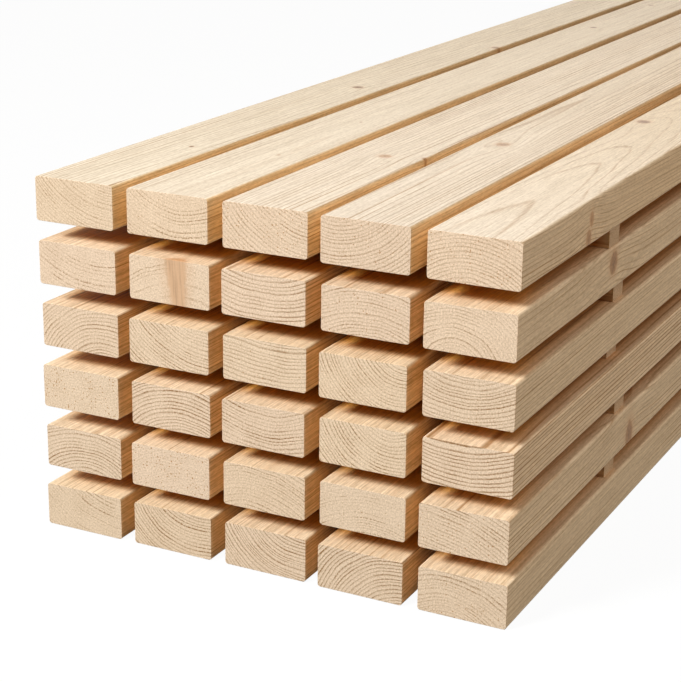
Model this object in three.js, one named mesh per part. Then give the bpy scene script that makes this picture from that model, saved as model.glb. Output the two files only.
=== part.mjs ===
// A stickered stack of planed softwood boards. Six layers of five boards lie one above
// the other, with thin sticks, called stickers, laid across between the layers so that
// air can pass through. The bottom layer lies on the floor.
//
// Frame: millimetres, +Z up. X runs across the boards and Y along them, with the front
// ends towards -Y. The origin is on the floor under the middle of the stack.

import * as THREE from 'three';

// Boards
const BOARD_LENGTH = 2400;
const BOARD_WIDTH = 90;
const BOARD_THICKNESS = 45;
const BOARD_ARRIS_RADIUS = 3; // planed rounding of the four long edges

// Stickers
const STICKER_WIDTH = 30;
const STICKER_THICKNESS = 20;
const STICKER_ARRIS_RADIUS = 0.8; // sawn edges, barely softened

// How the stack is laid out
const LAYERS = 6;
const BOARDS_PER_LAYER = 5;
const STICKERS_PER_GAP = 4;
const BOARD_GAP = 15; // between neighbours in one layer
const STICKER_INSET = 8; // sticker's ends, back from the two sides of the stack
const STICKER_END_MARGIN = 300; // board's end to the middle of the first sticker

// How far hand stacking leaves the pieces out of line
const END_STAGGER = 1; // most that a board's end stands out of the end face
const SIDE_LOOSENESS_FRONT = 0.04; // most that a board's front end sits aside, in board gaps
const SIDE_LOOSENESS_BACK = 0.2; // most that its back end sits aside, in board gaps
const TOP_LAYER_DRIFT = [0, -0.15, -0.3, -0.95, 0]; // top boards' back ends, in board gaps
const STICKER_DRIFT = [3, 23, 7, -4, -39]; // along the boards, one after the other
const STICKER_SIDE_DRIFT = [1, 1.5, -5.5, 1, 5]; // across them, towards +X

const ARRIS_STEPS = 2; // facets in each half of a quarter round

const STACK_WIDTH = BOARDS_PER_LAYER * BOARD_WIDTH + (BOARDS_PER_LAYER - 1) * BOARD_GAP;
const STICKER_LENGTH = STACK_WIDTH - 2 * STICKER_INSET;

// Rounded to single precision once, so that a sticker's two faces and the boards that
// they touch lie on exactly the same planes in every layer.
const LAYER_PITCH = Math.fround(BOARD_THICKNESS + STICKER_THICKNESS);

// The section of a planed stick: a rectangle from x = -width / 2 to width / 2 and from
// y = bottom to top, with each corner rounded by a quarter circle.
function planedSection(width, bottom, top, radius) {
  const right = width / 2;
  const left = -right;
  const section = new THREE.Shape();
  section.moveTo(left + radius, bottom);
  section.lineTo(right - radius, bottom);
  section.absarc(right - radius, bottom + radius, radius, -Math.PI / 2, 0, false);
  section.absarc(right - radius, top - radius, radius, 0, Math.PI / 2, false);
  section.absarc(left + radius, top - radius, radius, Math.PI / 2, Math.PI, false);
  section.absarc(left + radius, bottom + radius, radius, Math.PI, Math.PI * 1.5, false);
  return section;
}

// A board from y = 0 at its front end to y = BOARD_LENGTH, standing on z = 0.
function boardGeometry() {
  const section = planedSection(BOARD_WIDTH, 0, BOARD_THICKNESS, BOARD_ARRIS_RADIUS);
  const geometry = new THREE.ExtrudeGeometry(section, {
    depth: BOARD_LENGTH,
    curveSegments: ARRIS_STEPS,
    bevelEnabled: false,
  });
  geometry.rotateX(Math.PI / 2);
  geometry.translate(0, BOARD_LENGTH, 0);
  return geometry;
}

// A sticker along X, centred on x = 0 and y = 0, filling the gap above its layer's boards.
function stickerGeometry() {
  const section = planedSection(STICKER_WIDTH, BOARD_THICKNESS, LAYER_PITCH, STICKER_ARRIS_RADIUS);
  const geometry = new THREE.ExtrudeGeometry(section, {
    depth: STICKER_LENGTH,
    curveSegments: ARRIS_STEPS,
    bevelEnabled: false,
  });
  geometry.translate(0, 0, -STICKER_LENGTH / 2);
  geometry.rotateX(Math.PI / 2);
  geometry.rotateZ(Math.PI / 2);
  return geometry;
}

function boardWood() {
  return new THREE.MeshStandardMaterial({ color: 0xe6cda6, roughness: 0.7, metalness: 0 });
}

function stickerWood() {
  return new THREE.MeshStandardMaterial({ color: 0xcdae82, roughness: 0.85, metalness: 0 });
}

// A board's place in the looseness of the stack, from -1 to 1. Every layer, and every
// column, holds all five steps, so the stack stays centred on its origin.
function looseness(layer, column) {
  return (((3 * layer + 2 * column) % 5) - 2) / 2;
}

function layBoard(layer, column) {
  const board = new THREE.Mesh(boardGeometry(), boardWood());
  board.name = `layer_${layer + 1}_board_${column + 1}`;
  const place = column - (BOARDS_PER_LAYER - 1) / 2;
  const loose = looseness(layer, column);
  const aside = loose * SIDE_LOOSENESS_FRONT * BOARD_GAP;
  const onTop = layer === LAYERS - 1;
  const drift = (onTop ? TOP_LAYER_DRIFT[column] : loose * SIDE_LOOSENESS_BACK) * BOARD_GAP;
  board.position.x = place * (BOARD_WIDTH + BOARD_GAP) + aside;
  board.position.y = -BOARD_LENGTH / 2 + loose * END_STAGGER;
  board.rotation.z = -Math.atan2(drift - aside, BOARD_LENGTH);
  return board;
}

function laySticker(layer, row) {
  const sticker = new THREE.Mesh(stickerGeometry(), stickerWood());
  sticker.name = `layer_${layer + 1}_sticker_${row + 1}`;
  const spacing = (BOARD_LENGTH - 2 * STICKER_END_MARGIN) / (STICKERS_PER_GAP - 1);
  const drift = STICKER_DRIFT[(layer + 2 * row) % STICKER_DRIFT.length];
  sticker.position.x = STICKER_SIDE_DRIFT[(layer + 2 * row) % STICKER_SIDE_DRIFT.length];
  sticker.position.y = -BOARD_LENGTH / 2 + STICKER_END_MARGIN + row * spacing + drift;
  return sticker;
}

// One layer of boards, with the stickers that lie on it unless it is the top one.
function buildLayer(layer) {
  const group = new THREE.Group();
  group.position.z = layer * LAYER_PITCH;
  for (let column = 0; column < BOARDS_PER_LAYER; column += 1) {
    group.add(layBoard(layer, column));
  }
  if (layer < LAYERS - 1) {
    for (let row = 0; row < STICKERS_PER_GAP; row += 1) {
      group.add(laySticker(layer, row));
    }
  }
  return group;
}

function buildStack() {
  const stack = new THREE.Group();
  for (let layer = 0; layer < LAYERS; layer += 1) {
    stack.add(buildLayer(layer));
  }
  return stack;
}

export default buildStack();
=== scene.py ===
"""A stack of planed softwood boards, layer on layer over thin stickers: finish, light and camera."""

import math
import random
from typing import NamedTuple

import bmesh
import bpy
from mathutils import Matrix, Vector


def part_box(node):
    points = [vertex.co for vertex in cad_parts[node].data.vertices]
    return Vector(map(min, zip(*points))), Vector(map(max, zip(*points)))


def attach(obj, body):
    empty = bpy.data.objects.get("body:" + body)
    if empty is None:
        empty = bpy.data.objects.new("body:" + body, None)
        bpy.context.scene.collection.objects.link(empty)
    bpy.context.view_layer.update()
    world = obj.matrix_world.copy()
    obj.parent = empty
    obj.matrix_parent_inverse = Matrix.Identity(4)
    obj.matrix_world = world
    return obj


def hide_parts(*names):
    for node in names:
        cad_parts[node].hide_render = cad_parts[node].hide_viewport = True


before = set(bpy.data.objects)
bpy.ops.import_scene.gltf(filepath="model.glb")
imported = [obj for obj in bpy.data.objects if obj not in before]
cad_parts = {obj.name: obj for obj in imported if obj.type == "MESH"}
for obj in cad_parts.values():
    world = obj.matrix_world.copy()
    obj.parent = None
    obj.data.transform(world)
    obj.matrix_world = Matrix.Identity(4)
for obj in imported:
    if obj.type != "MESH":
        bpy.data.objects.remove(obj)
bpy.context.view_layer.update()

MM = 0.001  # lengths that end in _MM, and every length inside a wood pattern, are in millimetres
LAYERS = 6
BOARDS_PER_LAYER = 5
STICKERS_PER_GAP = 4
NUMBER = "NodeSocketFloat"
VECTOR = "NodeSocketVector"
COLOUR = "NodeSocketColor"


class Bar(NamedTuple):
    """A straight bar. Lengths are in metres."""

    width: float
    length: float
    thickness: float
    arris: float  # the radius of its long edges
    arris_steps: int  # how many flats round an arris
    cuts: int  # how many lengths its faces are cut into


class Log(NamedTuple):
    """How a board was cut from its log, seen on its front end. Lengths are in mm."""

    right: float  # where the heart lies, from the middle of the end
    up: float
    ring: float  # how wide a year's ring is
    lines: float = 0.9  # how strong the lines of the rings are on the ends
    even: float = 0.4  # how alike they all are, from 0 to 1
    specks: float = 0.2  # how many specks the wood has, from 0 to 1
    drift_right: float = 0.0  # how far the heart drifts in a metre
    drift_up: float = 0.0
    sway: float = 1.0  # how far the rings sway, next to a common log
    browning: float = 0.03  # painted shade: how much darker and browner the wood gets in a metre, as the light falls off towards the back
    wide: float = 0.6  # how strong the lines are on the wide sides
    narrow: float = 0.8  # and on the narrow ones


class Knot(NamedTuple):
    """Where a branch comes out of a board, from the middle of the section and along it, and how thick it is
    there. Lengths are in mm."""

    right: float
    along: float
    up: float
    radius: float
    darkness: float = 0.7
    calm: float = 0.5  # how weak the lines get near it, from 0 to 1


class Shelter(NamedTuple):
    """What lies round a bar, each from 0 to 1."""

    top: float  # another layer above its top
    under: float  # another layer, or the floor, below its underside
    open_left: float  # a left side that is on the outside of the stack
    open_right: float
    between_layers: float = 0.0  # a stick that lies between two layers


class Pattern(NamedTuple):
    """Noise in the wood."""

    size: float  # how big its lumps are across the grain, in mm
    detail: float
    along: float  # the share of a way along the grain that counts, which draws the lumps out


# Shape of the pieces
BOARD_WIDTH = 0.090
BOARD_ARRIS_MM = 3.0
BOARD_ARRIS_STEPS = 6
BOARD_CUTS = 16
STICKER_ARRIS_MM = 0.8
STICKER_ARRIS_STEPS = 2
STICKER_CUTS = 6
END_EDGE_MM = 0.35
END_EDGE_STEPS = 2
END_FACING = 0.9  # a face that looks at least this much along the bar is its end
FLAT_FACING = 0.9999  # one that looks this much along an axis is flat, and no part of a rounding

# Map of a bar for its baked finish
MAP_GAP = 0.006
STRIP_HEIGHT = 0.40
END_MAP_WIDTH = 0.40
END_MAP_FACING = 0.3  # a face that looks this much along the bar goes with the ends
ROUNDING = 1e-7  # metres by which a corner may miss the edge of its flat
INWARD = 0.999  # brings the middle of a face just inside the section

# Camera, with its turns in degrees
CAMERA_PLACE = (0.782, -2.590, 0.767)
CAMERA_TURN = 26.76
CAMERA_DOWN = 18.27
CAMERA_ROLL = 0.73
CAMERA_LENS = 94.2
CAMERA_SENSOR = 36.0
CAMERA_REACH = 200.0

# Light. A lamp near the stack has its strength on a surface that faces it, at the place it is aimed at.
KEY_FROM = (-0.40, -0.73, 0.62)
KEY_AIM = (0.0, -1.2, 0.2)
KEY_DISTANCE = 4.5
KEY_SIZE = 1.25
KEY_STRENGTH = 4.5
KEY_COLOUR = (0.97, 0.985, 1.0)
SIDE_FROM = (0.93, -0.05, 0.42)
SIDE_AIM = (0.25, -1.0, 0.2)
SIDE_DISTANCE = 3.6
SIDE_SIZE = 3.2
SIDE_STRENGTH = 1.06
SIDE_COLOUR = (1.0, 0.94, 0.89)
OVER_FROM = (0.55, 0.10, 0.83)
OVER_STRENGTH = 0.43
OVER_SPREAD = 9.0
OVER_COLOUR = (1.0, 0.90, 0.78)
BACK_FROM = (-0.30, 0.93, 0.20)
BACK_STRENGTH = 0.50
BACK_SPREAD = 20.0
BACK_COLOUR = (1.0, 0.93, 0.86)
FAR_LAMP_DISTANCE = 4.0
FILL_COLOUR = (1.0, 0.95, 0.89)
FILL_STRENGTH = 0.15
WHITE = (1.0, 1.0, 1.0)

# Floor
FLOOR_SIDE = 60.0
FLOOR_DROP = 0.0005
FLOOR_BOUNCE = (0.11, 0.09, 0.07)
FLOOR_GLOW = 0.95

# Colours of the wood, as linear red, green and blue
FACE_EARLYWOOD = (0.765, 0.656, 0.514, 1)
FACE_LATEWOOD = (0.36, 0.185, 0.055, 1)
END_EARLYWOOD = (0.708, 0.548, 0.390, 1)
END_LATEWOOD = (0.24, 0.115, 0.030, 1)
KNOT_PALE = (0.61, 0.385, 0.225, 1)
KNOT_DARK = (0.155, 0.072, 0.028, 1)
SPECKLE_WOOD = (0.38, 0.18, 0.05, 1)
WARM_SHADE = (0.85, 1.0, 1.2)  # how much a shaded place loses of its red, green and blue
FALLOFF_SHADE = (0.2, 0.7, 1.6)  # and how much the painted shade along a board takes of each
# Painted light and shade follow, as factors on the wood's colour; this first one paints none.
NO_TONE = (1, 1, 1, 1)
# warm painted light on the sides in the top layer's gaps
TOP_GAP_PAINTED_LIGHT = (1.16, 0.98, 0.70, 1)
# painted shade on them far along
FAR_GAP_PAINTED_SHADE = (0.86, 0.71, 0.51, 1)
# warm painted light on the sides in the lower layers' gaps
GAP_SIDE_PAINTED_LIGHT = (1.09, 0.86, 0.59, 1)
# warm painted light on the stack's open sides
OPEN_SIDE_PAINTED_LIGHT = (1.02, 0.91, 0.75, 1)
# painted light on covered tops and undersides near the ends
COVERED_PAINTED_LIGHT = (1.09, 0.98, 0.84, 1)
# painted shade on them some way in
BURIED_PAINTED_SHADE = (0.88, 0.48, 0.11, 1)
# deeper painted shade farther in, and along a stick's sides between the layers
DEEP_PAINTED_SHADE = (0.72, 0.37, 0.12, 1)
COLUMN_PAINTED_LIGHT = 1.009  # painted light: each board's ends are this much lighter than its left neighbour's
TINT_TONE = (0.97, 1.0)  # from the least to the most of a board's own tint
TINT_GREEN = (0.985, 1.0)
TINT_BLUE = (0.96, 1.0)
STICKER_TINT = (0.74, 0.66, 0.56)
STICKER_END_TONE = 1.15

# Where the painted light and shade lie, in mm. A top or underside that another layer covers turns from the
# painted light of the covered tone to the painted shade of the buried one some way in from the ends and from an
# open side, and to the deeper painted shade farther in from the ends.
BURIED_FROM_END = (10.0, 46.0)
BURIED_FROM_SIDE = (-6.0, 26.0)
DEEP_FROM_END = (50.0, 130.0)
STICKER_DEEP_FROM_END = (2.0, 16.0)
LONG_WAY = 1000.0  # as far in as anything gets, where a side isn't open
FAR_GAP_ALONG = (0.0, 1400.0)  # a gap side of the top layer turns to the far painted shade this far along, in mm
GAP_SIDE_TURN = (0.2, 0.9)  # how far an arris has turned where the gap's painted light starts, and where it is whole
FALLOFF_UNTIL = 1300.0  # the painted shade along a board gets no stronger from here on, in mm along it
OPEN_SIDE_SHADEDNESS = 0.5  # how streaky the stack's open sides are, next to 1 on a side in a gap

# Year rings. Winter ends a ring: its line is darkest there and fades back towards spring, in shares of a ring.
# Here and below, a pair is a factor and what is added to it, or the start and end of a change, in place or in
# strength. A seed step moves a bar's noise away from the next one's.
SEED_STEP = (37.0, 11.0, 53.0)
SWAY = Pattern(60.0, 1.0, 0.03)
SWAY_REACH = 9.0  # mm that the noise may push a ring aside, from its least to its most
WAVE = Pattern(28.0, 1.0, 0.15)
WAVE_REACH = 1.8
RIPPLE = Pattern(9.0, 3.0, 0.03)
RIPPLE_REACH = 1.4
OFF_THE_GRAIN = (1.0, 0.0, 1.0)
PACE_SIZE = 14.0  # wide and narrow years come and go over this many mm
PACE_SEED_STEP = 91.0
PACE_REACH = 1.6
SLANT = (0.9, 0.48)  # where a face lies along the rings, a line is this last share of its usual width
WINTER = 0.9
FACE_WINTER = (-0.10, 0.03)
FACE_AUTUMN = (0.02, 0.31)
FACE_LINE_POWER = 1.2
END_WINTER = (-0.05, 0.0)
END_AUTUMN = (0.04, 0.46)
YEAR_SEED_STEP = 7.0
YEAR_POWER = 2.2  # the higher, the fewer strong years
EVEN_YEAR = 0.9
REGION = Pattern(30.0, 1.0, 0.04)
REGION_EDGES = (0.38, 0.58)
REGION_FAINTEST = (0.15, 0.75)  # lines in a faint region, in a log that isn't even and in one that is
CALMING = 0.9
BREAKS = Pattern(2.4, 1.0, 0.02)
FACE_BREAK_EDGES = (0.25, 0.60)
FACE_BREAK = 0.55
END_BREAK_EDGES = (0.34, 0.60)
END_BREAK = (0.1, 0.8)  # a line where it is broken, in a log that isn't even and in one that is
FACE_LINE_LEAST = 0.15  # how strong the line of the weakest year is
END_LINE_LEAST = 0.12

# Knots. Edges are in shares of the branch's radius.
BRANCH_GROWTH = (0.0, 1.6)  # from the heart, next to the way to where the branch comes out
BRANCH_THICKNESS = (0.1, 1.6)
KNOT_OUTLINE = Pattern(9.0, 2.0, 1.0)
KNOT_WOBBLE = (0.5, 0.75)
KNOT_OVAL = (1.0, 0.8, 1.0)
KNOT_GRAIN = Pattern(2.6, 2.0, 1.0)
KNOT_GRAIN_ALONG = 0.07
KNOT_GRAIN_SHADE = 1.5
KNOT_CORE = 0.92
KNOT_CORE_EDGE = (0.70, 1.15)
KNOT_HALO = 0.28
KNOT_HALO_EDGE = (0.9, 1.7)
KNOT_SHADE = (1.0, 0.30)
KNOT_SHADE_EDGE = (0.1, 1.15)
BEND_OVAL = (1.0, 0.36, 1.0)  # the grain bends over a longer way along the log
BEND_FADE = 0.16
BEND_PUSH = 0.72  # how far it goes round the branch, and how far it rises with it
BEND_RISE = 0.5
CALM_FADE = 0.04

# Fine pattern of planed sides and sawn ends, and how strong it is in their colour, roughness and relief
FIBRE = Pattern(1.5, 3.0, 0.024)
STREAK = Pattern(4.0, 3.0, 0.012)
CLOUD = Pattern(45.0, 2.0, 0.12)
GRIT = Pattern(1.5, 2.0, 0.2)
MOTTLE = Pattern(20.0, 3.0, 0.2)
SPECK = Pattern(1.9, 0.0, 0.04)
SPECK_PATCH = Pattern(24.0, 1.0, 0.04)
SPECK_PATCH_SHARE = 0.20
SPECK_RARITY = (-0.15, 0.95)
SPECK_EDGE = 0.05
SPECK_STRENGTH = (0.10, 0.95)  # on the long sides and on the ends
LINES_BY_SHADEDNESS = (-0.15, 1.55)  # lines are a little weaker and streaks stronger where painted light and shade lie
STREAKS_BY_SHADEDNESS = (0.95, 0.42)
STREAK_SHADEDNESS_POWER = 3.0
FACE_FIBRE = 0.76
FACE_CLOUD = 0.16
FACE_GRIT = 0.60
END_MOTTLE = 0.20
END_GRIT = 1.12
FACE_ROUGHNESS = 0.66
END_ROUGHNESS = 0.81
FIBRE_ROUGHNESS = 0.20
LINE_GLOSS = 0.06
KNOT_GLOSS = 0.10
FIBRE_HEIGHT = 0.025
LINE_HEIGHT = 0.02
GRIT_HEIGHT = 0.10
SPECK_DEPTH = 0.06
RELIEF_STRENGTH = 0.8
SPECULAR = 0.12
SAWN_END_TURN = (0.4, 0.8)  # how far an edge has turned where the sawn finish starts, and where it is whole

# The boards' logs, by row from the top layer down and by board from the left
LOGS = (
    (
        Log(48, 95, 3.1, 0.8, 0.4, 0.2, 6, 8, 0.4, 0.03, 0.8, 0.75),
        Log(15, 75, 3.6, 0.95, 0.1, 0.3, 4, 4, 0.8, 0.03, 0.7, 0.75),
        Log(55, 85, 3.6, 0.9, 0.4, 0.8, 2, 2, 0.6, 0.045, 0.85, 0.8),
        Log(-30, 72, 3.4, 0.85, 0.5, 0.8, 3, 3, 0.3, 0.085, 0.95, 0.8),
        Log(-3, -72.3, 3.5, 0.72, 0.65, 0.8, 0, -26, 0.45, 0.15, 0.45, 0.8),
    ),
    (
        Log(23, 100, 4.0, 1.0, 0.0, 0.0),
        Log(16, -150, 4.8, 0.9, 0.0, 0.0),
        Log(0, 130, 4.2, 1.0, 0.7, 0.1),
        Log(3, -95, 3.4, 0.9, 0.4, 0.7),
        Log(-15, -46, 3.6, 0.8, 0.3, 0.2),
    ),
    (
        Log(31, -64, 3.7, 1.05, 0.5, 0.0),
        Log(45, 85, 3.6, 1.35, 0.4, 0.1),
        Log(5, 180, 3.7, 0.9, 0.7, 0.5),
        Log(43, 48, 3.3, 1.15, 0.4, 0.2),
        Log(-6, 100, 3.5, 1.1, 0.6, 0.6, narrow=0.75),
    ),
    (
        Log(0, 170, 2.8, 0.3, 0.0, 1.0),
        Log(13, -78, 3.5, 1.4, 0.6, 0.0),
        Log(0, 115, 3.4, 1.4, 0.4, 0.0),
        Log(32, 52, 3.5, 1.35, 0.4, 0.0),
        Log(-8, 125, 4.0, 1.2, 0.8, 0.0, 0, 0, 1.0, 0.03, 0.8, 1.2),
    ),
    (
        Log(3, -80, 3.5, 1.5, 0.4, 0.0),
        Log(40, -150, 2.7, 0.3, 0.0, 1.0),
        Log(-14, -90, 3.3, 1.2, 0.2, 0.1),
        Log(10, -110, 3.4, 1.0, 0.0, 0.4),
        Log(-40, -125, 3.4, 1.0, 0.4, 0.8),
    ),
    (
        Log(45, 95, 3.4, 1.0, 0.1, 0.4),
        Log(33, 66, 3.6, 1.3, 0.4, 0.0),
        Log(45, 68, 3.4, 1.35, 0.6, 0.2),
        Log(47, -62, 3.5, 1.35, 0.6, 0.0),
        Log(-15, -70, 3.4, 1.05, 0.3, 0.7, narrow=0.85),
    ),
)

# Chance in the boards and stickers: from the least to the most, in mm where it is a length
BOARD_SEED_STEP = 100
STICKER_SEED_STEP = 1000
PATTERN_SEEDS = (0, 50)
FREE_DRIFT = (-6, 6)
STICKER_HEART_ASIDE = (60, 120)
STICKER_HEART_UP = (-20, 20)
STICKER_RING = (2.2, 3.0)
STICKER_LINES = 0.9
STICKER_EVEN = 0.6
STICKER_SPECKS = 0.3
# A stick lies covered between two layers, with the painted light and shade of a covered bar.
STICKER_SHELTER = Shelter(0.9, 0.9, 0.0, 0.0, between_layers=1.0)

# The knots that show most, by row from the top and board from the left. TOP and SIDE are where a board's top and
# right side lie.
TOP = 22.5
SIDE = 45.0
KNOTS = {
    (1, 1): (
        Knot(17, 191, TOP, 2.6, 1.0),
        Knot(12, 595, TOP, 6.5, 1.0),
        Knot(40, 978, TOP, 7.0, 0.7),
    ),
    (1, 2): (
        Knot(-10, 1240, TOP, 5.0, 0.9),
        Knot(8, 398, TOP, 1.8, 0.5),
        Knot(11, 200, TOP, 2.0, 0.2),
    ),
    (1, 3): (
        Knot(4, 249, TOP, 6.0, 0.4, 0.8),
        Knot(43.2, 260, 19.0, 3.6, 0.65),  # on the right arris
    ),
    (1, 4): (Knot(-15, 367, TOP, 7.5, 0.5, 1.0),),
    (1, 5): (
        Knot(-29, 563, TOP, 8.5, 0.9, 0.6),
        Knot(SIDE, 172, -15.0, 6.0, 0.5, 0.0),
        Knot(SIDE, 178, 3.0, 4.5, 0.3, 0.0),
    ),
    (2, 2): (Knot(9, -10, 0.0, 14.0, 0.08),),
    (2, 5): (Knot(SIDE, 258, 5.0, 10.5, 0.75, 0.0),),
    (5, 5): (Knot(SIDE, 346, -11.0, 10.0, 0.7, 0.0),),
}

# The other knots, in mm. They start farther along on the top boards and on those in the table above.
FREE_KNOTS_FROM = 1300.0
PLAIN_BOARD_KNOTS_FROM = 200.0
FREE_KNOTS_END = 120
FREE_KNOT_FIRST = (60, 500)
FREE_KNOT_STEP = (350, 800)
FREE_KNOT_ACROSS = (-0.45, 0.45)  # of the board's width
FREE_KNOT_SIDE = (-0.5, 0.5)  # of its thickness: the underside or the top
FREE_KNOT_RADIUS = (2.0, 7.0)
FREE_KNOT_DARKNESS = (0.3, 0.9)


def feed(tree, socket, value):
    """Gives a socket another node's output, or a plain number, vector or colour."""
    if isinstance(value, bpy.types.NodeSocket):
        tree.links.new(value, socket)
    else:
        socket.default_value = value


def maths(tree, operation, *values, clamp=False):
    """A Math node's result."""
    node = tree.nodes.new("ShaderNodeMath")
    node.operation = operation
    node.use_clamp = clamp
    for socket, value in zip(node.inputs, values):
        feed(tree, socket, value)
    return node.outputs[0]


def vector_maths(tree, operation, *values, scale=None, output=0):
    """A Vector Math node's result."""
    node = tree.nodes.new("ShaderNodeVectorMath")
    node.operation = operation
    for socket, value in zip(node.inputs, values):
        feed(tree, socket, value)
    if scale is not None:
        feed(tree, node.inputs["Scale"], scale)
    return node.outputs[output]


def component(tree, vector, axis):
    """A vector's X, Y or Z."""
    node = tree.nodes.new("ShaderNodeSeparateXYZ")
    feed(tree, node.inputs[0], vector)
    return node.outputs[axis]


def ramp(tree, value, start, end, low=0.0, high=1.0, smooth=True):
    """low up to start, high from end on, and a change between them."""
    node = tree.nodes.new("ShaderNodeMapRange")
    node.interpolation_type = "SMOOTHSTEP" if smooth else "LINEAR"
    feed(tree, node.inputs["Value"], value)
    feed(tree, node.inputs["From Min"], start)
    feed(tree, node.inputs["From Max"], end)
    feed(tree, node.inputs["To Min"], low)
    feed(tree, node.inputs["To Max"], high)
    return node.outputs["Result"]


def noise(tree, place, size, detail=1.0, output="Fac"):
    """Smooth noise whose lumps are about size across, in the units of place."""
    node = tree.nodes.new("ShaderNodeTexNoise")
    node.inputs["Scale"].default_value = 1 / size
    node.inputs["Detail"].default_value = detail
    feed(tree, node.inputs["Vector"], place)
    return node.outputs[output]


def pattern(tree, place, kind, shift=(0.0, 0.0, 0.0), output="Fac"):
    """A pattern's noise, from 0 to 1, at a place whose Y runs along the grain."""
    drawn_out = vector_maths(tree, "MULTIPLY_ADD", place, (1.0, kind.along, 1.0), shift)
    return noise(tree, drawn_out, kind.size, kind.detail, output)


def uneven(tree, place, kind):
    """A pattern that goes up and down round 0."""
    return maths(tree, "SUBTRACT", pattern(tree, place, kind), 0.5)


def wander(tree, place, kind, shift, reach):
    """How far a pattern pushes a place aside, off the grain."""
    off = vector_maths(tree, "SUBTRACT", pattern(tree, place, kind, shift, "Color"), (0.5, 0.5, 0.5))
    return vector_maths(tree, "MULTIPLY", off, (reach, 0.0, reach))


def mapped(tree, place, matrix):
    """A place turned, shifted and scaled by a matrix whose scale is the same each way."""
    node = tree.nodes.new("ShaderNodeMapping")
    node.inputs["Location"].default_value = matrix.translation
    node.inputs["Rotation"].default_value = matrix.to_euler("XYZ")
    node.inputs["Scale"].default_value = matrix.to_scale()
    feed(tree, node.inputs["Vector"], place)
    return node.outputs["Vector"]


def blend_number(tree, amount, first, second):
    """first where amount is 0, second where it is 1."""
    return maths(tree, "MULTIPLY_ADD", maths(tree, "SUBTRACT", second, first), amount, first)


def mix_colour(tree, amount, first, second, blend="MIX"):
    """A Mix node's colour. Its colours' sockets share their names with others, so they go by number."""
    node = tree.nodes.new("ShaderNodeMix")
    node.data_type = "RGBA"
    node.blend_type = blend
    feed(tree, node.inputs["Factor"], amount)
    feed(tree, node.inputs[6], first)
    feed(tree, node.inputs[7], second)
    return node.outputs[2]


def shaded(tree, colour, amount, shade=WARM_SHADE):
    """The colour made lighter, or darker and browner, by a share of itself."""
    share = vector_maths(tree, "MULTIPLY_ADD", amount, shade, (1, 1, 1))
    return vector_maths(tree, "MULTIPLY", colour, share)


def mix_shaders(tree, amount, first, second):
    """A Mix Shader node's shader."""
    node = tree.nodes.new("ShaderNodeMixShader")
    feed(tree, node.inputs[0], amount)
    feed(tree, node.inputs[1], first)
    feed(tree, node.inputs[2], second)
    return node.outputs[0]


def plain_shader(tree, kind, colour):
    """A shader node of one colour."""
    node = tree.nodes.new(kind)
    node.inputs["Color"].default_value = (*colour, 1)
    return node


def bare_tree(owner):
    """The empty node tree of a material or a world."""
    owner.use_nodes = True
    owner.node_tree.nodes.clear()
    return owner.node_tree


def new_group(name, inputs, outputs):
    """A node group with sockets of the given names by kind, and its input and output sockets."""
    tree = bpy.data.node_groups.new(name, "ShaderNodeTree")
    for direction, sockets in (("INPUT", inputs), ("OUTPUT", outputs)):
        for kind, names in sockets.items():
            for socket in names:
                tree.interface.new_socket(socket, in_out=direction, socket_type=kind)
    return tree, tree.nodes.new("NodeGroupInput").outputs, tree.nodes.new("NodeGroupOutput").inputs


def use_group(tree, group, **values):
    """A group's node with its inputs fed. A socket's name is written with _ for a space."""
    node = tree.nodes.new("ShaderNodeGroup")
    node.node_tree = group
    for name, value in values.items():
        feed(tree, node.inputs[name.replace("_", " ")], value)
    return node.outputs


def swayed(tree, given, own_shift):
    """A place across the grain, pushed aside so that the rings are no true circles."""
    here = given["Place"]
    sway = wander(tree, here, SWAY, own_shift, SWAY_REACH)
    wave = wander(tree, here, WAVE, own_shift, WAVE_REACH)
    ripple = wander(tree, here, RIPPLE, own_shift, RIPPLE_REACH)
    slow = vector_maths(tree, "SCALE", vector_maths(tree, "ADD", sway, wave), scale=given["Sway"])
    place = vector_maths(tree, "ADD", vector_maths(tree, "ADD", slow, here), ripple)
    return vector_maths(tree, "MULTIPLY", place, OFF_THE_GRAIN)


def years_from_heart(tree, given, radius):
    """How many years' rings lie between the heart and a radius."""
    pace = tree.nodes.new("ShaderNodeTexNoise")
    pace.noise_dimensions = "1D"
    pace.inputs["Scale"].default_value = 1 / PACE_SIZE
    pace.inputs["Detail"].default_value = 1.0
    feed(tree, pace.inputs["W"], maths(tree, "MULTIPLY_ADD", given["Seed"], PACE_SEED_STEP, radius))
    years = maths(tree, "DIVIDE", radius, given["Ring width"])
    return maths(tree, "MULTIPLY_ADD", pace.outputs["Fac"], PACE_REACH, years)


def strength_of_year(tree, given, years, own_shift):
    """How strong a year's line is, less in faint regions of the wood and near a calm knot."""
    luck = tree.nodes.new("ShaderNodeTexWhiteNoise")
    luck.noise_dimensions = "1D"
    year = maths(tree, "FLOOR", years)
    feed(tree, luck.inputs["W"], maths(tree, "MULTIPLY_ADD", given["Seed"], YEAR_SEED_STEP, year))
    strength = maths(tree, "POWER", luck.outputs["Value"], YEAR_POWER)
    strength = blend_number(tree, given["Even"], strength, EVEN_YEAR)
    region = pattern(tree, given["Place"], REGION, own_shift)
    faintest = blend_number(tree, given["Even"], *REGION_FAINTEST)
    strength = maths(tree, "MULTIPLY", strength, ramp(tree, region, *REGION_EDGES, faintest, 1.0))
    return maths(tree, "MULTIPLY", strength, maths(tree, "MULTIPLY_ADD", given["Calm"], -CALMING, 1.0))


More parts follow.
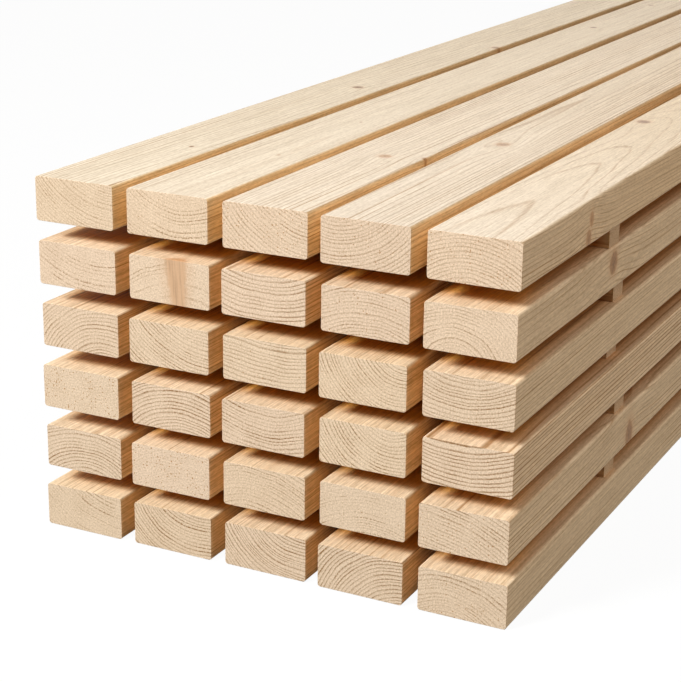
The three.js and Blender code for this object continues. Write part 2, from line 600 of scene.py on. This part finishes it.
def growth_rings():
    """Year rings round a log's heart, which runs along Y through the origin."""
    tree, given, result = new_group(
        "growth_rings",
        {VECTOR: ("Place", "Facing"), NUMBER: ("Ring width", "Seed", "Sway", "Even", "Calm")},
        {NUMBER: ("Face line", "End line")},
    )
    own_shift = vector_maths(tree, "SCALE", SEED_STEP, scale=given["Seed"])
    place = swayed(tree, given, own_shift)
    years = years_from_heart(tree, given, vector_maths(tree, "LENGTH", place, output="Value"))
    strength = strength_of_year(tree, given, years, own_shift)

    crossing = vector_maths(tree, "CROSS_PRODUCT", vector_maths(tree, "NORMALIZE", place), given["Facing"])
    slant = vector_maths(tree, "LENGTH", crossing, output="Value")
    slant = maths(tree, "MINIMUM", maths(tree, "MULTIPLY_ADD", slant, *SLANT), 1.0)
    before_winter = maths(tree, "SUBTRACT", WINTER, maths(tree, "FRACT", years))
    before_winter = maths(tree, "DIVIDE", before_winter, slant)
    face_winter = ramp(tree, before_winter, *FACE_WINTER)
    wide = maths(tree, "MULTIPLY", ramp(tree, before_winter, *FACE_AUTUMN, 1.0, 0.0), face_winter)
    wide = maths(tree, "POWER", wide, FACE_LINE_POWER)
    end_winter = ramp(tree, before_winter, *END_WINTER)
    thin = maths(tree, "MULTIPLY", ramp(tree, before_winter, *END_AUTUMN, 1.0, 0.0), end_winter)

    def line(shape, whole, least):
        """A line with its breaks, at its own year's strength."""
        broken = maths(tree, "MULTIPLY", shape, whole)
        return maths(tree, "MULTIPLY", broken, blend_number(tree, strength, least, 1.0))

    breaks = pattern(tree, given["Place"], BREAKS)
    end_break = blend_number(tree, given["Even"], *END_BREAK)
    face_whole = ramp(tree, breaks, *FACE_BREAK_EDGES, FACE_BREAK, 1.0)
    end_whole = ramp(tree, breaks, *END_BREAK_EDGES, end_break, 1.0)
    feed(tree, result["Face line"], line(wide, face_whole, FACE_LINE_LEAST))
    feed(tree, result["End line"], line(thin, end_whole, END_LINE_LEAST))
    return tree


def knot():
    """One branch that grows out from the heart: its own dark wood, and the grain that bends round it. The lines
    near a calm one are weak."""
    tree, given, result = new_group(
        "knot",
        {
            VECTOR: ("Place", "Bent place", "Centre", "Branch"),
            NUMBER: ("Knot wood", "Knot shade", "Calm", "Depth", "Radius", "Darkness", "Own calm"),
        },
        {VECTOR: ("Bent place",), NUMBER: ("Knot wood", "Knot shade", "Calm")},
    )
    offset = vector_maths(tree, "SUBTRACT", given["Place"], given["Centre"])
    out = vector_maths(tree, "DOT_PRODUCT", offset, given["Branch"], output="Value")
    grown = maths(tree, "DIVIDE", maths(tree, "ADD", given["Depth"], out), given["Depth"])
    thickness = ramp(tree, grown, *BRANCH_GROWTH, *BRANCH_THICKNESS, smooth=False)
    radius = maths(tree, "MULTIPLY", given["Radius"], thickness)
    aside = vector_maths(tree, "SUBTRACT", offset, vector_maths(tree, "SCALE", given["Branch"], scale=out))
    across = vector_maths(tree, "MULTIPLY", aside, OFF_THE_GRAIN)

    wobble = maths(tree, "MULTIPLY_ADD", pattern(tree, given["Place"], KNOT_OUTLINE), *KNOT_WOBBLE)
    oval = vector_maths(tree, "LENGTH", vector_maths(tree, "MULTIPLY", aside, KNOT_OVAL), output="Value")
    share = maths(tree, "DIVIDE", maths(tree, "MULTIPLY", oval, wobble), radius)
    along_branch = maths(tree, "MULTIPLY", out, KNOT_GRAIN_ALONG)
    along_branch = vector_maths(tree, "SCALE", given["Branch"], scale=along_branch)
    grain = uneven(tree, vector_maths(tree, "ADD", aside, along_branch), KNOT_GRAIN)
    core = ramp(tree, share, *KNOT_CORE_EDGE, 1.0, 0.0)
    halo = ramp(tree, share, *KNOT_HALO_EDGE, KNOT_HALO, 0.0)
    wood = maths(tree, "MAXIMUM", maths(tree, "MULTIPLY", core, KNOT_CORE), halo)
    shade = maths(tree, "MULTIPLY", ramp(tree, share, *KNOT_SHADE_EDGE, *KNOT_SHADE), given["Darkness"])
    shade = maths(tree, "MULTIPLY", maths(tree, "MULTIPLY_ADD", grain, KNOT_GRAIN_SHADE, shade), core)

    eye = vector_maths(tree, "LENGTH", vector_maths(tree, "MULTIPLY", aside, BEND_OVAL), output="Value")
    reach = maths(tree, "DIVIDE", eye, radius)
    squared = maths(tree, "MULTIPLY", reach, reach)
    bend = maths(tree, "EXPONENT", maths(tree, "MULTIPLY", squared, -BEND_FADE))
    push = vector_maths(tree, "SCALE", across, scale=maths(tree, "MULTIPLY", bend, -BEND_PUSH))
    rise = maths(tree, "MULTIPLY", maths(tree, "MULTIPLY", bend, radius), -BEND_RISE)
    lift = vector_maths(tree, "SCALE", given["Branch"], scale=rise)
    bent = vector_maths(tree, "ADD", given["Bent place"], vector_maths(tree, "ADD", push, lift))
    calm = maths(tree, "EXPONENT", maths(tree, "MULTIPLY", squared, -CALM_FADE))
    calm = maths(tree, "MULTIPLY", calm, given["Own calm"])
    feed(tree, result["Bent place"], bent)
    feed(tree, result["Knot wood"], maths(tree, "MAXIMUM", given["Knot wood"], wood))
    feed(tree, result["Knot shade"], maths(tree, "MAXIMUM", given["Knot shade"], shade))
    feed(tree, result["Calm"], maths(tree, "MAXIMUM", given["Calm"], calm))
    return tree


def planed_colour(tree, given, year, fibre, grit):
    """The colour of the long sides."""
    sideways = maths(tree, "ABSOLUTE", component(tree, given["Facing"], "X"))
    side_share = blend_number(tree, sideways, given["Wide side"], given["Narrow side"])
    line = maths(tree, "MULTIPLY", year["Face line"], side_share)
    by_shadedness = maths(tree, "MULTIPLY_ADD", given["Warmth"], *LINES_BY_SHADEDNESS)
    line = maths(tree, "MULTIPLY", line, by_shadedness, clamp=True)
    colour = mix_colour(tree, line, FACE_EARLYWOOD, FACE_LATEWOOD)

    streak = uneven(tree, given["Bent place"], STREAK)
    cloud = uneven(tree, given["Place"], CLOUD)
    shadedness_raised = maths(tree, "POWER", given["Warmth"], STREAK_SHADEDNESS_POWER)
    streaky = maths(tree, "MULTIPLY", maths(tree, "MULTIPLY_ADD", shadedness_raised, *STREAKS_BY_SHADEDNESS), side_share)
    planed = maths(tree, "MULTIPLY_ADD", fibre, FACE_FIBRE, maths(tree, "MULTIPLY", cloud, FACE_CLOUD))
    planed = maths(tree, "MULTIPLY_ADD", grit, FACE_GRIT, planed)
    colour = shaded(tree, colour, maths(tree, "MULTIPLY_ADD", streak, streaky, planed))

    # painted shade: darker and browner along the board, as the light falls off towards the back
    fallen_off = maths(tree, "MINIMUM", component(tree, given["Place"], "Y"), FALLOFF_UNTIL)
    fallen_off = maths(tree, "MULTIPLY", fallen_off, given["Browning"])
    return shaded(tree, colour, maths(tree, "MULTIPLY", fallen_off, -1.0), FALLOFF_SHADE)


def sawn_colour(tree, given, year, grit):
    """The colour of the ends, scaled by the end tone, which is painted light on the boards."""
    line = maths(tree, "MULTIPLY", year["End line"], given["Lines"], clamp=True)
    colour = mix_colour(tree, line, END_EARLYWOOD, END_LATEWOOD)
    mottle = uneven(tree, given["Place"], MOTTLE)
    sawn = maths(tree, "MULTIPLY_ADD", mottle, END_MOTTLE, maths(tree, "MULTIPLY", grit, END_GRIT))
    return vector_maths(tree, "SCALE", shaded(tree, colour, sawn), scale=given["End tone"])


def speckles(tree, given):
    """How much of a speck is at a place."""
    patch = pattern(tree, given["Bent place"], SPECK_PATCH)
    specks = pattern(tree, given["Bent place"], SPECK)
    specks = maths(tree, "MULTIPLY_ADD", patch, SPECK_PATCH_SHARE, specks)
    rare = maths(tree, "MULTIPLY_ADD", given["Specks"], *SPECK_RARITY)
    speck = ramp(tree, specks, rare, maths(tree, "ADD", rare, SPECK_EDGE))
    return maths(tree, "MULTIPLY", speck, blend_number(tree, given["Sawn end"], *SPECK_STRENGTH))


def planed_softwood(rings):
    """Colour, roughness and relief of planed spruce on its long sides and sawn ends, with painted light and
    shade.
    """
    tree, given, result = new_group(
        "planed_softwood",
        {
            VECTOR: ("Place", "Bent place", "Facing"),
            NUMBER: (
                *("Knot wood", "Knot shade", "Calm", "Sawn end", "Warmth", "End tone", "Seed", "Ring width"),
                *("Lines", "Even", "Specks", "Sway", "Browning", "Wide side", "Narrow side"),
            ),
            COLOUR: ("Tone", "Tint"),
        },
        {COLOUR: ("Color",), NUMBER: ("Roughness", "Height")},
    )
    end = given["Sawn end"]
    year = use_group(
        tree,
        rings,
        Place=given["Bent place"],
        Facing=given["Facing"],
        Ring_width=given["Ring width"],
        Seed=given["Seed"],
        Sway=given["Sway"],
        Even=given["Even"],
        Calm=given["Calm"],
    )
    fibre = uneven(tree, given["Bent place"], FIBRE)
    grit = uneven(tree, given["Place"], GRIT)
    speck = speckles(tree, given)
    face_colour = planed_colour(tree, given, year, fibre, grit)
    colour = mix_colour(tree, end, face_colour, sawn_colour(tree, given, year, grit))
    colour = mix_colour(tree, speck, colour, SPECKLE_WOOD)
    knot_colour = mix_colour(tree, given["Knot shade"], KNOT_PALE, KNOT_DARK)
    colour = mix_colour(tree, given["Knot wood"], colour, knot_colour)
    # painted light and shade, by what lies round the bar
    colour = mix_colour(tree, 1.0, colour, given["Tone"], "MULTIPLY")
    colour = mix_colour(tree, 1.0, colour, given["Tint"], "MULTIPLY")
    feed(tree, result["Color"], colour)

    rough = blend_number(tree, end, FACE_ROUGHNESS, END_ROUGHNESS)
    rough = maths(tree, "MULTIPLY_ADD", fibre, FIBRE_ROUGHNESS, rough)
    rough = maths(tree, "MULTIPLY_ADD", year["Face line"], -LINE_GLOSS, rough)
    rough = maths(tree, "MULTIPLY_ADD", given["Knot wood"], -KNOT_GLOSS, rough)
    feed(tree, result["Roughness"], rough)

    height = maths(tree, "MULTIPLY", fibre, FIBRE_HEIGHT)
    height = maths(tree, "MULTIPLY_ADD", year["Face line"], LINE_HEIGHT, height)
    height = maths(tree, "MULTIPLY_ADD", maths(tree, "MULTIPLY", grit, end), GRIT_HEIGHT, height)
    feed(tree, result["Height"], maths(tree, "MULTIPLY_ADD", speck, -SPECK_DEPTH, height))
    return tree


def painted_light_and_shade():
    """Painted light and shade on each of a bar's four sides, and how shaded each side is, which sets how
    strongly the streaks show. A top or underside that another layer covers has painted light near the ends and
    painted shade some way in from the ends and from an open side. The sides in the gaps and the stack's open
    sides have warm painted light, with painted shade far along the top layer's gaps and along a stick's sides
    between the layers."""
    tree, given, result = new_group(
        "painted_light_and_shade",
        {
            VECTOR: ("Facing", "Place"),
            NUMBER: ("Length", "Width", "Top", "Under", "Open left", "Open right", "Between layers"),
        },
        {NUMBER: ("Warmth",), COLOUR: ("Tone",)},
    )
    across = component(tree, given["Facing"], "X")
    up = component(tree, given["Facing"], "Z")
    right = component(tree, given["Place"], "X")
    along = component(tree, given["Place"], "Y")

    def share(direction, sign, amount):
        """An amount, as far as the surface faces that way."""
        turned = maths(tree, "MULTIPLY", direction, sign, clamp=True)
        return maths(tree, "MULTIPLY", turned, amount)

    def way_in(way, is_open):
        """A way in from an open side, or a long way where the side isn't open."""
        return maths(tree, "MULTIPLY_ADD", maths(tree, "SUBTRACT", 1.0, is_open), LONG_WAY, way)

    half = maths(tree, "MULTIPLY", given["Width"], 0.5)
    from_left = way_in(maths(tree, "ADD", half, right), given["Open left"])
    from_right = way_in(maths(tree, "SUBTRACT", half, right), given["Open right"])
    from_side = maths(tree, "MINIMUM", from_left, from_right)
    from_end = maths(tree, "MINIMUM", along, maths(tree, "SUBTRACT", given["Length"], along))
    # painted light near the ends of a covered top or underside, painted shade some way in from them and from an
    # open side, and deeper painted shade farther in
    buried = ramp(tree, from_end, *BURIED_FROM_END)
    buried = maths(tree, "MULTIPLY", buried, ramp(tree, from_side, *BURIED_FROM_SIDE))
    deep = ramp(tree, from_end, *DEEP_FROM_END)
    between = ramp(tree, from_end, *STICKER_DEEP_FROM_END)
    between = maths(tree, "MULTIPLY", between, given["Between layers"])

    flats = maths(tree, "ADD", share(up, 1.0, given["Top"]), share(up, -1.0, given["Under"]))
    open_right = share(across, 1.0, given["Open right"])
    is_open = maths(tree, "ADD", open_right, share(across, -1.0, given["Open left"]))
    sideways = maths(tree, "SUBTRACT", maths(tree, "ABSOLUTE", across), is_open)
    in_gap = ramp(tree, sideways, *GAP_SIDE_TURN)
    shaded_sides = maths(tree, "MULTIPLY_ADD", is_open, OPEN_SIDE_SHADEDNESS, in_gap)
    feed(tree, result["Warmth"], maths(tree, "ADD", flats, shaded_sides, clamp=True))

    # warm painted light on the sides in the gaps, with painted shade far along the top layer's gaps and along a
    # stick's sides between the layers
    top_gap_tone = mix_colour(tree, ramp(tree, along, *FAR_GAP_ALONG), TOP_GAP_PAINTED_LIGHT, FAR_GAP_PAINTED_SHADE)
    gap_tone = mix_colour(tree, given["Top"], top_gap_tone, GAP_SIDE_PAINTED_LIGHT)
    gap_tone = mix_colour(tree, between, gap_tone, DEEP_PAINTED_SHADE)
    # warm painted light on the stack's open sides
    side_tone = mix_colour(tree, is_open, mix_colour(tree, in_gap, NO_TONE, gap_tone), OPEN_SIDE_PAINTED_LIGHT)
    inner_tone = mix_colour(tree, deep, BURIED_PAINTED_SHADE, DEEP_PAINTED_SHADE)
    flat_tone = mix_colour(tree, buried, COVERED_PAINTED_LIGHT, inner_tone)
    feed(tree, result["Tone"], mix_colour(tree, flats, side_tone, flat_tone))
    return tree


RINGS = growth_rings()
KNOT = knot()
SOFTWOOD = planed_softwood(RINGS)
PAINTED_LIGHT_AND_SHADE = painted_light_and_shade()


def half_way(values):
    """The number half-way between the least and the most of some."""
    return (min(values) + max(values)) / 2


def end_middles(node, axis):
    """The middles of a bar's two end faces, lowest first along that axis, from its CAD corners."""
    corners = [v.co.copy() for v in node.data.vertices]
    between_ends = sum(c[axis] for c in corners) / len(corners)
    middles = []
    for near in (True, False):
        end = [c for c in corners if (c[axis] < between_ends) == near]
        middles.append(Vector([half_way(values) for values in zip(*end)]))
    return middles


def bar_frame(start, finish):
    """Turns a bar's own frame, with Y along it from the middle of its start, into the stack's frame."""
    along = (finish - start).normalized()
    right = along.cross(Vector((0, 0, 1))).normalized()
    up = right.cross(along)
    turn = Matrix((right, along, up)).transposed().to_4x4()
    return Matrix.Translation(start) @ turn


def facing_in_bar(tree, normal, place):
    """The way the surface faces, in the bar's own frame."""
    turn = tree.nodes.new("ShaderNodeVectorRotate")
    turn.rotation_type = "EULER_XYZ"
    turn.inputs["Rotation"].default_value = place.inverted().to_euler("XYZ")
    feed(tree, turn.inputs["Vector"], normal)
    return turn.outputs["Vector"]


def painted_shading(tree, facing, in_bar, size, sheltered):
    """The painted light and shade on a bar's sides, and how shaded each side is."""
    return use_group(
        tree,
        PAINTED_LIGHT_AND_SHADE,
        Facing=facing,
        Place=in_bar,
        Length=size.length / MM,
        Width=size.width / MM,
        Top=sheltered.top,
        Under=sheltered.under,
        Open_left=sheltered.open_left,
        Open_right=sheltered.open_right,
        Between_layers=sheltered.between_layers,
    )


def bent_round_knots(tree, in_log, knots, drift, heart):
    """A place in the log after the grain has bent round every knot, and how much of a knot is there."""
    bent = {"Bent place": in_log, "Knot wood": 0.0, "Knot shade": 0.0, "Calm": 0.0}
    for one in knots:
        centre = drift @ Vector((one.right, one.along, one.up)) - heart
        branch = Vector((centre.x, 0.0, centre.z))
        bent = use_group(
            tree,
            KNOT,
            Place=in_log,
            Bent_place=bent["Bent place"],
            Knot_wood=bent["Knot wood"],
            Knot_shade=bent["Knot shade"],
            Calm=bent["Calm"],
            Centre=centre,
            Branch=branch.normalized(),
            Depth=branch.length,
            Radius=one.radius,
            Darkness=one.darkness,
            Own_calm=one.calm,
        )
    return bent


def wood_surface(tree, wood):
    """The material's surface from the wood's colour, roughness and height."""
    relief = tree.nodes.new("ShaderNodeBump")
    relief.inputs["Strength"].default_value = RELIEF_STRENGTH
    relief.inputs["Distance"].default_value = MM
    feed(tree, relief.inputs["Height"], wood["Height"])
    shader = tree.nodes.new("ShaderNodeBsdfPrincipled")
    shader.inputs["Specular IOR Level"].default_value = SPECULAR
    feed(tree, shader.inputs["Base Color"], wood["Color"])
    feed(tree, shader.inputs["Roughness"], wood["Roughness"])
    feed(tree, shader.inputs["Normal"], relief.outputs["Normal"])
    output = tree.nodes.new("ShaderNodeOutputMaterial")
    tree.links.new(shader.outputs["BSDF"], output.inputs["Surface"])


def wood_material(name, place, size, log, knots, sheltered, tint, end_tone, seed):
    """The finish of one bar. place is the bar's own frame, and all that log and knots say is in it."""
    material = bpy.data.materials.new(name)
    tree = bare_tree(material)
    surface = tree.nodes.new("ShaderNodeTexCoord")

    into_bar = Matrix.Scale(1 / MM, 4) @ place.inverted()
    drift = Matrix.Rotation(-log.drift_up * MM, 3, "X") @ Matrix.Rotation(log.drift_right * MM, 3, "Z")
    heart = Vector((log.right, 0.0, log.up))
    into_log = Matrix.Translation(-heart) @ drift.to_4x4() @ into_bar
    in_bar = mapped(tree, surface.outputs["Object"], into_bar)
    in_log = mapped(tree, surface.outputs["Object"], into_log)

    facing = facing_in_bar(tree, surface.outputs["Normal"], place)
    endward = maths(tree, "ABSOLUTE", component(tree, facing, "Y"))
    # painted light and shade, by what lies round the bar
    tone = painted_shading(tree, facing, in_bar, size, sheltered)
    bent = bent_round_knots(tree, in_log, knots, drift, heart)
    wood = use_group(
        tree,
        SOFTWOOD,
        Place=in_log,
        Bent_place=bent["Bent place"],
        Facing=facing,
        Knot_wood=bent["Knot wood"],
        Knot_shade=bent["Knot shade"],
        Calm=bent["Calm"],
        Sawn_end=ramp(tree, endward, *SAWN_END_TURN),
        Ring_width=log.ring,
        Seed=seed,
        Lines=log.lines,
        Even=log.even,
        Specks=log.specks,
        Sway=log.sway,
        Browning=log.browning * MM,
        Wide_side=log.wide,
        Narrow_side=log.narrow,
        Warmth=tone["Warmth"],
        Tone=tone["Tone"],
        Tint=(*tint, 1.0),
        End_tone=end_tone,
    )
    wood_surface(tree, wood)
    return material


def new_object(name, data):
    """An object in the scene."""
    thing = bpy.data.objects.new(name, data)
    bpy.context.scene.collection.objects.link(thing)
    return thing


def runs_along(edge, size):
    """Whether an edge goes from one end of the bar to the other."""
    return abs(edge.verts[0].co.y - edge.verts[1].co.y) > size.length / 2


def goes_round_an_end(edge):
    """Whether an edge is where an end meets the long sides."""
    ends = sum(abs(face.normal.y) > END_FACING for face in edge.link_faces)
    return edge.is_manifold and ends == 1


def round_off(bar, edges, radius, steps):
    """Rounds some of a bar's edges."""
    bmesh.ops.bevel(bar, geom=edges, offset=radius, segments=steps, profile=0.5, affect="EDGES", material=-1)


def planed_bar(name, place, size):
    """A straight bar with rounded arrises, in its place in the stack."""
    bar = bmesh.new()
    bmesh.ops.create_cube(bar, size=1.0)
    bmesh.ops.scale(bar, vec=(size.width, size.length, size.thickness), verts=bar.verts)
    bmesh.ops.translate(bar, vec=(0, size.length / 2, 0), verts=bar.verts)
    round_off(bar, [e for e in bar.edges if runs_along(e, size)], size.arris, size.arris_steps)
    end_edges = [e for e in bar.edges if goes_round_an_end(e) and not runs_along(e, size)]
    round_off(bar, end_edges, END_EDGE_MM * MM, END_EDGE_STEPS)
    for cut in range(1, size.cuts):
        geometry = bar.verts[:] + bar.edges[:] + bar.faces[:]
        spot = (0, size.length * cut / size.cuts, 0)
        bmesh.ops.bisect_plane(bar, geom=geometry, plane_co=spot, plane_no=(0, 1, 0))
    for face in bar.faces:
        face.smooth = max(map(abs, face.normal)) < FLAT_FACING
    lay_out(bar, size)
    bar.transform(place)
    mesh = bpy.data.meshes.new(name)
    bar.to_mesh(mesh)
    bar.free()
    return new_object(name, mesh)


def lay_out(bar, size):
    """A map of the bar for its baked finish: the four long sides in two half-length strips, then both ends."""
    uv = bar.loops.layers.uv.new("OFBake")
    for face in bar.faces:
        half = int(face.calc_center_median().y > size.length / 2)
        if abs(face.normal.y) > END_MAP_FACING:
            lay_out_end(face, uv, size, half)
        else:
            lay_out_side(face, uv, size, half)


def lay_out_end(face, uv, size, half):
    """Puts a face of an end into the band over the strips, the far end beside the near one."""
    band = 1 - 2 * STRIP_HEIGHT - 4 * MAP_GAP
    for loop in face.loops:
        spot = loop.vert.co
        across = (spot.x + size.width / 2) / size.width
        up = (spot.z + size.thickness / 2) / size.thickness
        loop[uv].uv = (
            MAP_GAP + half * (END_MAP_WIDTH + MAP_GAP) + END_MAP_WIDTH * across,
            1 - MAP_GAP - band * (1 - up),
        )


def lay_out_side(face, uv, size, half):
    """Puts a face of the long sides into the strip of its half of the bar."""
    centre = face.calc_center_median()
    middle = way_round(centre.x * INWARD, centre.z * INWARD, size)
    for loop in face.loops:
        spot = loop.vert.co
        way = way_round(spot.x, spot.z, size)
        if way < middle - 0.5:
            way += 1
        if way > middle + 0.5:
            way -= 1
        along = spot.y / size.length * 2 - half
        loop[uv].uv = (
            MAP_GAP + (1 - 2 * MAP_GAP) * along,
            MAP_GAP + half * (STRIP_HEIGHT + MAP_GAP) + STRIP_HEIGHT * way,
        )


def way_round(x, z, size):
    """How far round a bar's section a place is, as a share of the girth. It starts at the left end of the top
    and goes clockwise, seen from the start."""
    half_width = size.width / 2 - size.arris
    half_height = size.thickness / 2 - size.arris
    quarter = math.pi / 2 * size.arris
    right = 2 * half_width + quarter  # the way at which the right side starts, and so on
    under = right + 2 * half_height + quarter
    left = under + 2 * half_width + quarter
    girth = left + 2 * half_height + quarter
    if abs(x) <= half_width + ROUNDING:
        way = half_width + x if z > 0 else under + half_width - x
    elif abs(z) <= half_height + ROUNDING:
        way = right + half_height - z if x > 0 else left + half_height + z
    else:
        turned = size.arris * math.atan2(abs(z) - half_height, abs(x) - half_width)
        if x > 0:
            way = right - turned if z > 0 else under - quarter + turned
        else:
            way = girth - quarter + turned if z > 0 else left - turned
    return way / girth


def free_knots(luck, size, start):
    """Knots at random places along a bar, from start on."""
    knots = []
    along = start + luck.uniform(*FREE_KNOT_FIRST)
    while along < size.length / MM - FREE_KNOTS_END:
        across = luck.uniform(*FREE_KNOT_ACROSS) * size.width / MM
        side = luck.choice(FREE_KNOT_SIDE) * size.thickness / MM
        radius = luck.uniform(*FREE_KNOT_RADIUS)
        knots.append(Knot(across, along, side, radius, luck.uniform(*FREE_KNOT_DARKNESS)))
        along += luck.uniform(*FREE_KNOT_STEP)
    return knots


def own_tint(luck):
    """A board's own tint."""
    tone = luck.uniform(*TINT_TONE)
    green = tone * luck.uniform(*TINT_GREEN)
    return (tone, green, tone * luck.uniform(*TINT_BLUE))


def finish_piece(piece, material, node):
    """Dresses a piece and sets it in the place of its CAD node."""
    piece.data.materials.append(material)
    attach(piece, "root")
    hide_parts(node)


def board(layer, number):
    """One board of the stack."""
    node = f"layer_{layer}_board_{number}"
    name = f"{node}_wood"
    start, finish = end_middles(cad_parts[node], 1)
    low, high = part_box(node)
    length = (finish - start).length
    size = Bar(BOARD_WIDTH, length, high.z - low.z, BOARD_ARRIS_MM * MM, BOARD_ARRIS_STEPS, BOARD_CUTS)
    place = bar_frame(start, finish)
    piece = planed_bar(name, place, size)

    luck = random.Random(BOARD_SEED_STEP * layer + number)
    row = LAYERS + 1 - layer
    log = LOGS[row - 1][number - 1]
    if log.drift_right == 0 and log.drift_up == 0:
        log = log._replace(drift_right=luck.uniform(*FREE_DRIFT), drift_up=luck.uniform(*FREE_DRIFT))
    own_knots = KNOTS.get((row, number), ())
    free_from = FREE_KNOTS_FROM if own_knots or row == 1 else PLAIN_BOARD_KNOTS_FROM
    knots = [*own_knots, *free_knots(luck, size, free_from)]
    sheltered = Shelter(
        top=float(layer < LAYERS),
        under=1.0,
        open_left=float(number == 1),
        open_right=float(number == BOARDS_PER_LAYER),
    )
    tint = own_tint(luck)
    # painted light: the ends are a little lighter on each board to the right
    end_tone = COLUMN_PAINTED_LIGHT ** (number - 1)
    seed = luck.uniform(*PATTERN_SEEDS)
    material = wood_material(name, place, size, log, knots, sheltered, tint, end_tone, seed)
    finish_piece(piece, material, node)


def sticker(layer, number):
    """One thin stick between two layers."""
    node = f"layer_{layer}_sticker_{number}"
    name = f"{node}_wood"
    start, finish = end_middles(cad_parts[node], 0)
    low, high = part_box(node)
    width = high.y - low.y
    thickness = high.z - low.z
    length = (finish - start).length
    size = Bar(width, length, thickness, STICKER_ARRIS_MM * MM, STICKER_ARRIS_STEPS, STICKER_CUTS)
    place = bar_frame(start, finish)
    piece = planed_bar(name, place, size)

    luck = random.Random(STICKER_SEED_STEP * layer + number)
    heart_right = luck.choice((-1, 1)) * luck.uniform(*STICKER_HEART_ASIDE)
    heart_up = luck.uniform(*STICKER_HEART_UP)
    ring = luck.uniform(*STICKER_RING)
    log = Log(heart_right, heart_up, ring, STICKER_LINES, STICKER_EVEN, STICKER_SPECKS)
    seed = luck.uniform(*PATTERN_SEEDS)
    material = wood_material(
        name, place, size, log, [], STICKER_SHELTER, STICKER_TINT, STICKER_END_TONE, seed
    )
    finish_piece(piece, material, node)


def is_seen(tree):
    """1 for what the camera sees itself or in a reflection, 0 for light that only falls on the object."""
    path = tree.nodes.new("ShaderNodeLightPath")
    seen = maths(tree, "MAXIMUM", path.outputs["Is Camera Ray"], path.outputs["Is Glossy Ray"])
    return maths(tree, "MAXIMUM", seen, path.outputs["Is Transmission Ray"])


def studio_floor():
    """A plain white floor that keeps the stack's shadow."""
    mesh = bpy.data.meshes.new("studio_floor")
    sheet = bmesh.new()
    bmesh.ops.create_grid(sheet, x_segments=1, y_segments=1, size=FLOOR_SIDE / 2)
    sheet.to_mesh(mesh)
    sheet.free()
    floor = new_object("studio_floor", mesh)
    floor.location.z = -FLOOR_DROP
    material = bpy.data.materials.new("studio_floor")
    tree = bare_tree(material)
    bounce = plain_shader(tree, "ShaderNodeBsdfDiffuse", FLOOR_BOUNCE)
    white = plain_shader(tree, "ShaderNodeBsdfDiffuse", WHITE)
    glow = plain_shader(tree, "ShaderNodeEmission", WHITE)
    seen = mix_shaders(tree, FLOOR_GLOW, white.outputs[0], glow.outputs[0])
    both = mix_shaders(tree, is_seen(tree), bounce.outputs[0], seen)
    output = tree.nodes.new("ShaderNodeOutputMaterial")
    feed(tree, output.inputs["Surface"], both)
    mesh.materials.append(material)


def hang_lamp(name, lamp, source, place):
    """Puts a lamp at a place, with its light going away from source."""
    holder = new_object(name, lamp)
    holder.rotation_mode = "QUATERNION"
    holder.rotation_quaternion = Vector(source).to_track_quat("Z", "Y")
    holder.location = place


def near_lamp(name, source, aim, distance, size, strength, colour):
    """A round soft box, near enough that its light falls off along the stack."""
    lamp = bpy.data.lights.new(name, "AREA")
    lamp.shape = "DISK"
    lamp.size = size
    lamp.energy = strength * math.pi * distance**2
    lamp.color = colour
    source = Vector(source).normalized()
    hang_lamp(name, lamp, source, Vector(aim) + distance * source)


def far_lamp(name, source, strength, spread, colour):
    """A soft lamp so far away that its light is even."""
    lamp = bpy.data.lights.new(name, "SUN")
    lamp.energy = strength
    lamp.angle = math.radians(spread)
    lamp.color = colour
    hang_lamp(name, lamp, source, FAR_LAMP_DISTANCE * Vector(source))


def studio_light():
    """A soft key from the upper left in front, weaker lamps from over the right, from the right and from
    behind, and an even fill from all round."""
    near_lamp("key", KEY_FROM, KEY_AIM, KEY_DISTANCE, KEY_SIZE, KEY_STRENGTH, KEY_COLOUR)
    near_lamp("side", SIDE_FROM, SIDE_AIM, SIDE_DISTANCE, SIDE_SIZE, SIDE_STRENGTH, SIDE_COLOUR)
    far_lamp("over", OVER_FROM, OVER_STRENGTH, OVER_SPREAD, OVER_COLOUR)
    far_lamp("back", BACK_FROM, BACK_STRENGTH, BACK_SPREAD, BACK_COLOUR)

    world = bpy.data.worlds.new("studio")
    tree = bare_tree(world)
    fill = plain_shader(tree, "ShaderNodeBackground", FILL_COLOUR)
    fill.inputs["Strength"].default_value = FILL_STRENGTH
    white = plain_shader(tree, "ShaderNodeBackground", WHITE)
    both = mix_shaders(tree, is_seen(tree), fill.outputs[0], white.outputs[0])
    output = tree.nodes.new("ShaderNodeOutputWorld")
    feed(tree, output.inputs["Surface"], both)
    bpy.context.scene.world = world


def camera():
    """A long lens from the front right, a little above the stack."""
    lens = bpy.data.cameras.new("camera")
    lens.lens = CAMERA_LENS
    lens.sensor_width = CAMERA_SENSOR
    lens.clip_end = CAMERA_REACH
    eye = new_object("camera", lens)
    turn = Matrix.Rotation(math.radians(CAMERA_TURN), 4, "Z")
    nod = Matrix.Rotation(math.radians(90 - CAMERA_DOWN), 4, "X")
    roll = Matrix.Rotation(math.radians(CAMERA_ROLL), 4, "Z")
    eye.matrix_world = Matrix.Translation(CAMERA_PLACE) @ turn @ nod @ roll
    bpy.context.scene.camera = eye


for layer in range(1, LAYERS + 1):
    for number in range(1, BOARDS_PER_LAYER + 1):
        board(layer, number)
for layer in range(1, LAYERS):
    for number in range(1, STICKERS_PER_GAP + 1):
        sticker(layer, number)
studio_floor()
studio_light()
camera()
bpy.context.scene.view_settings.view_transform = "Standard"
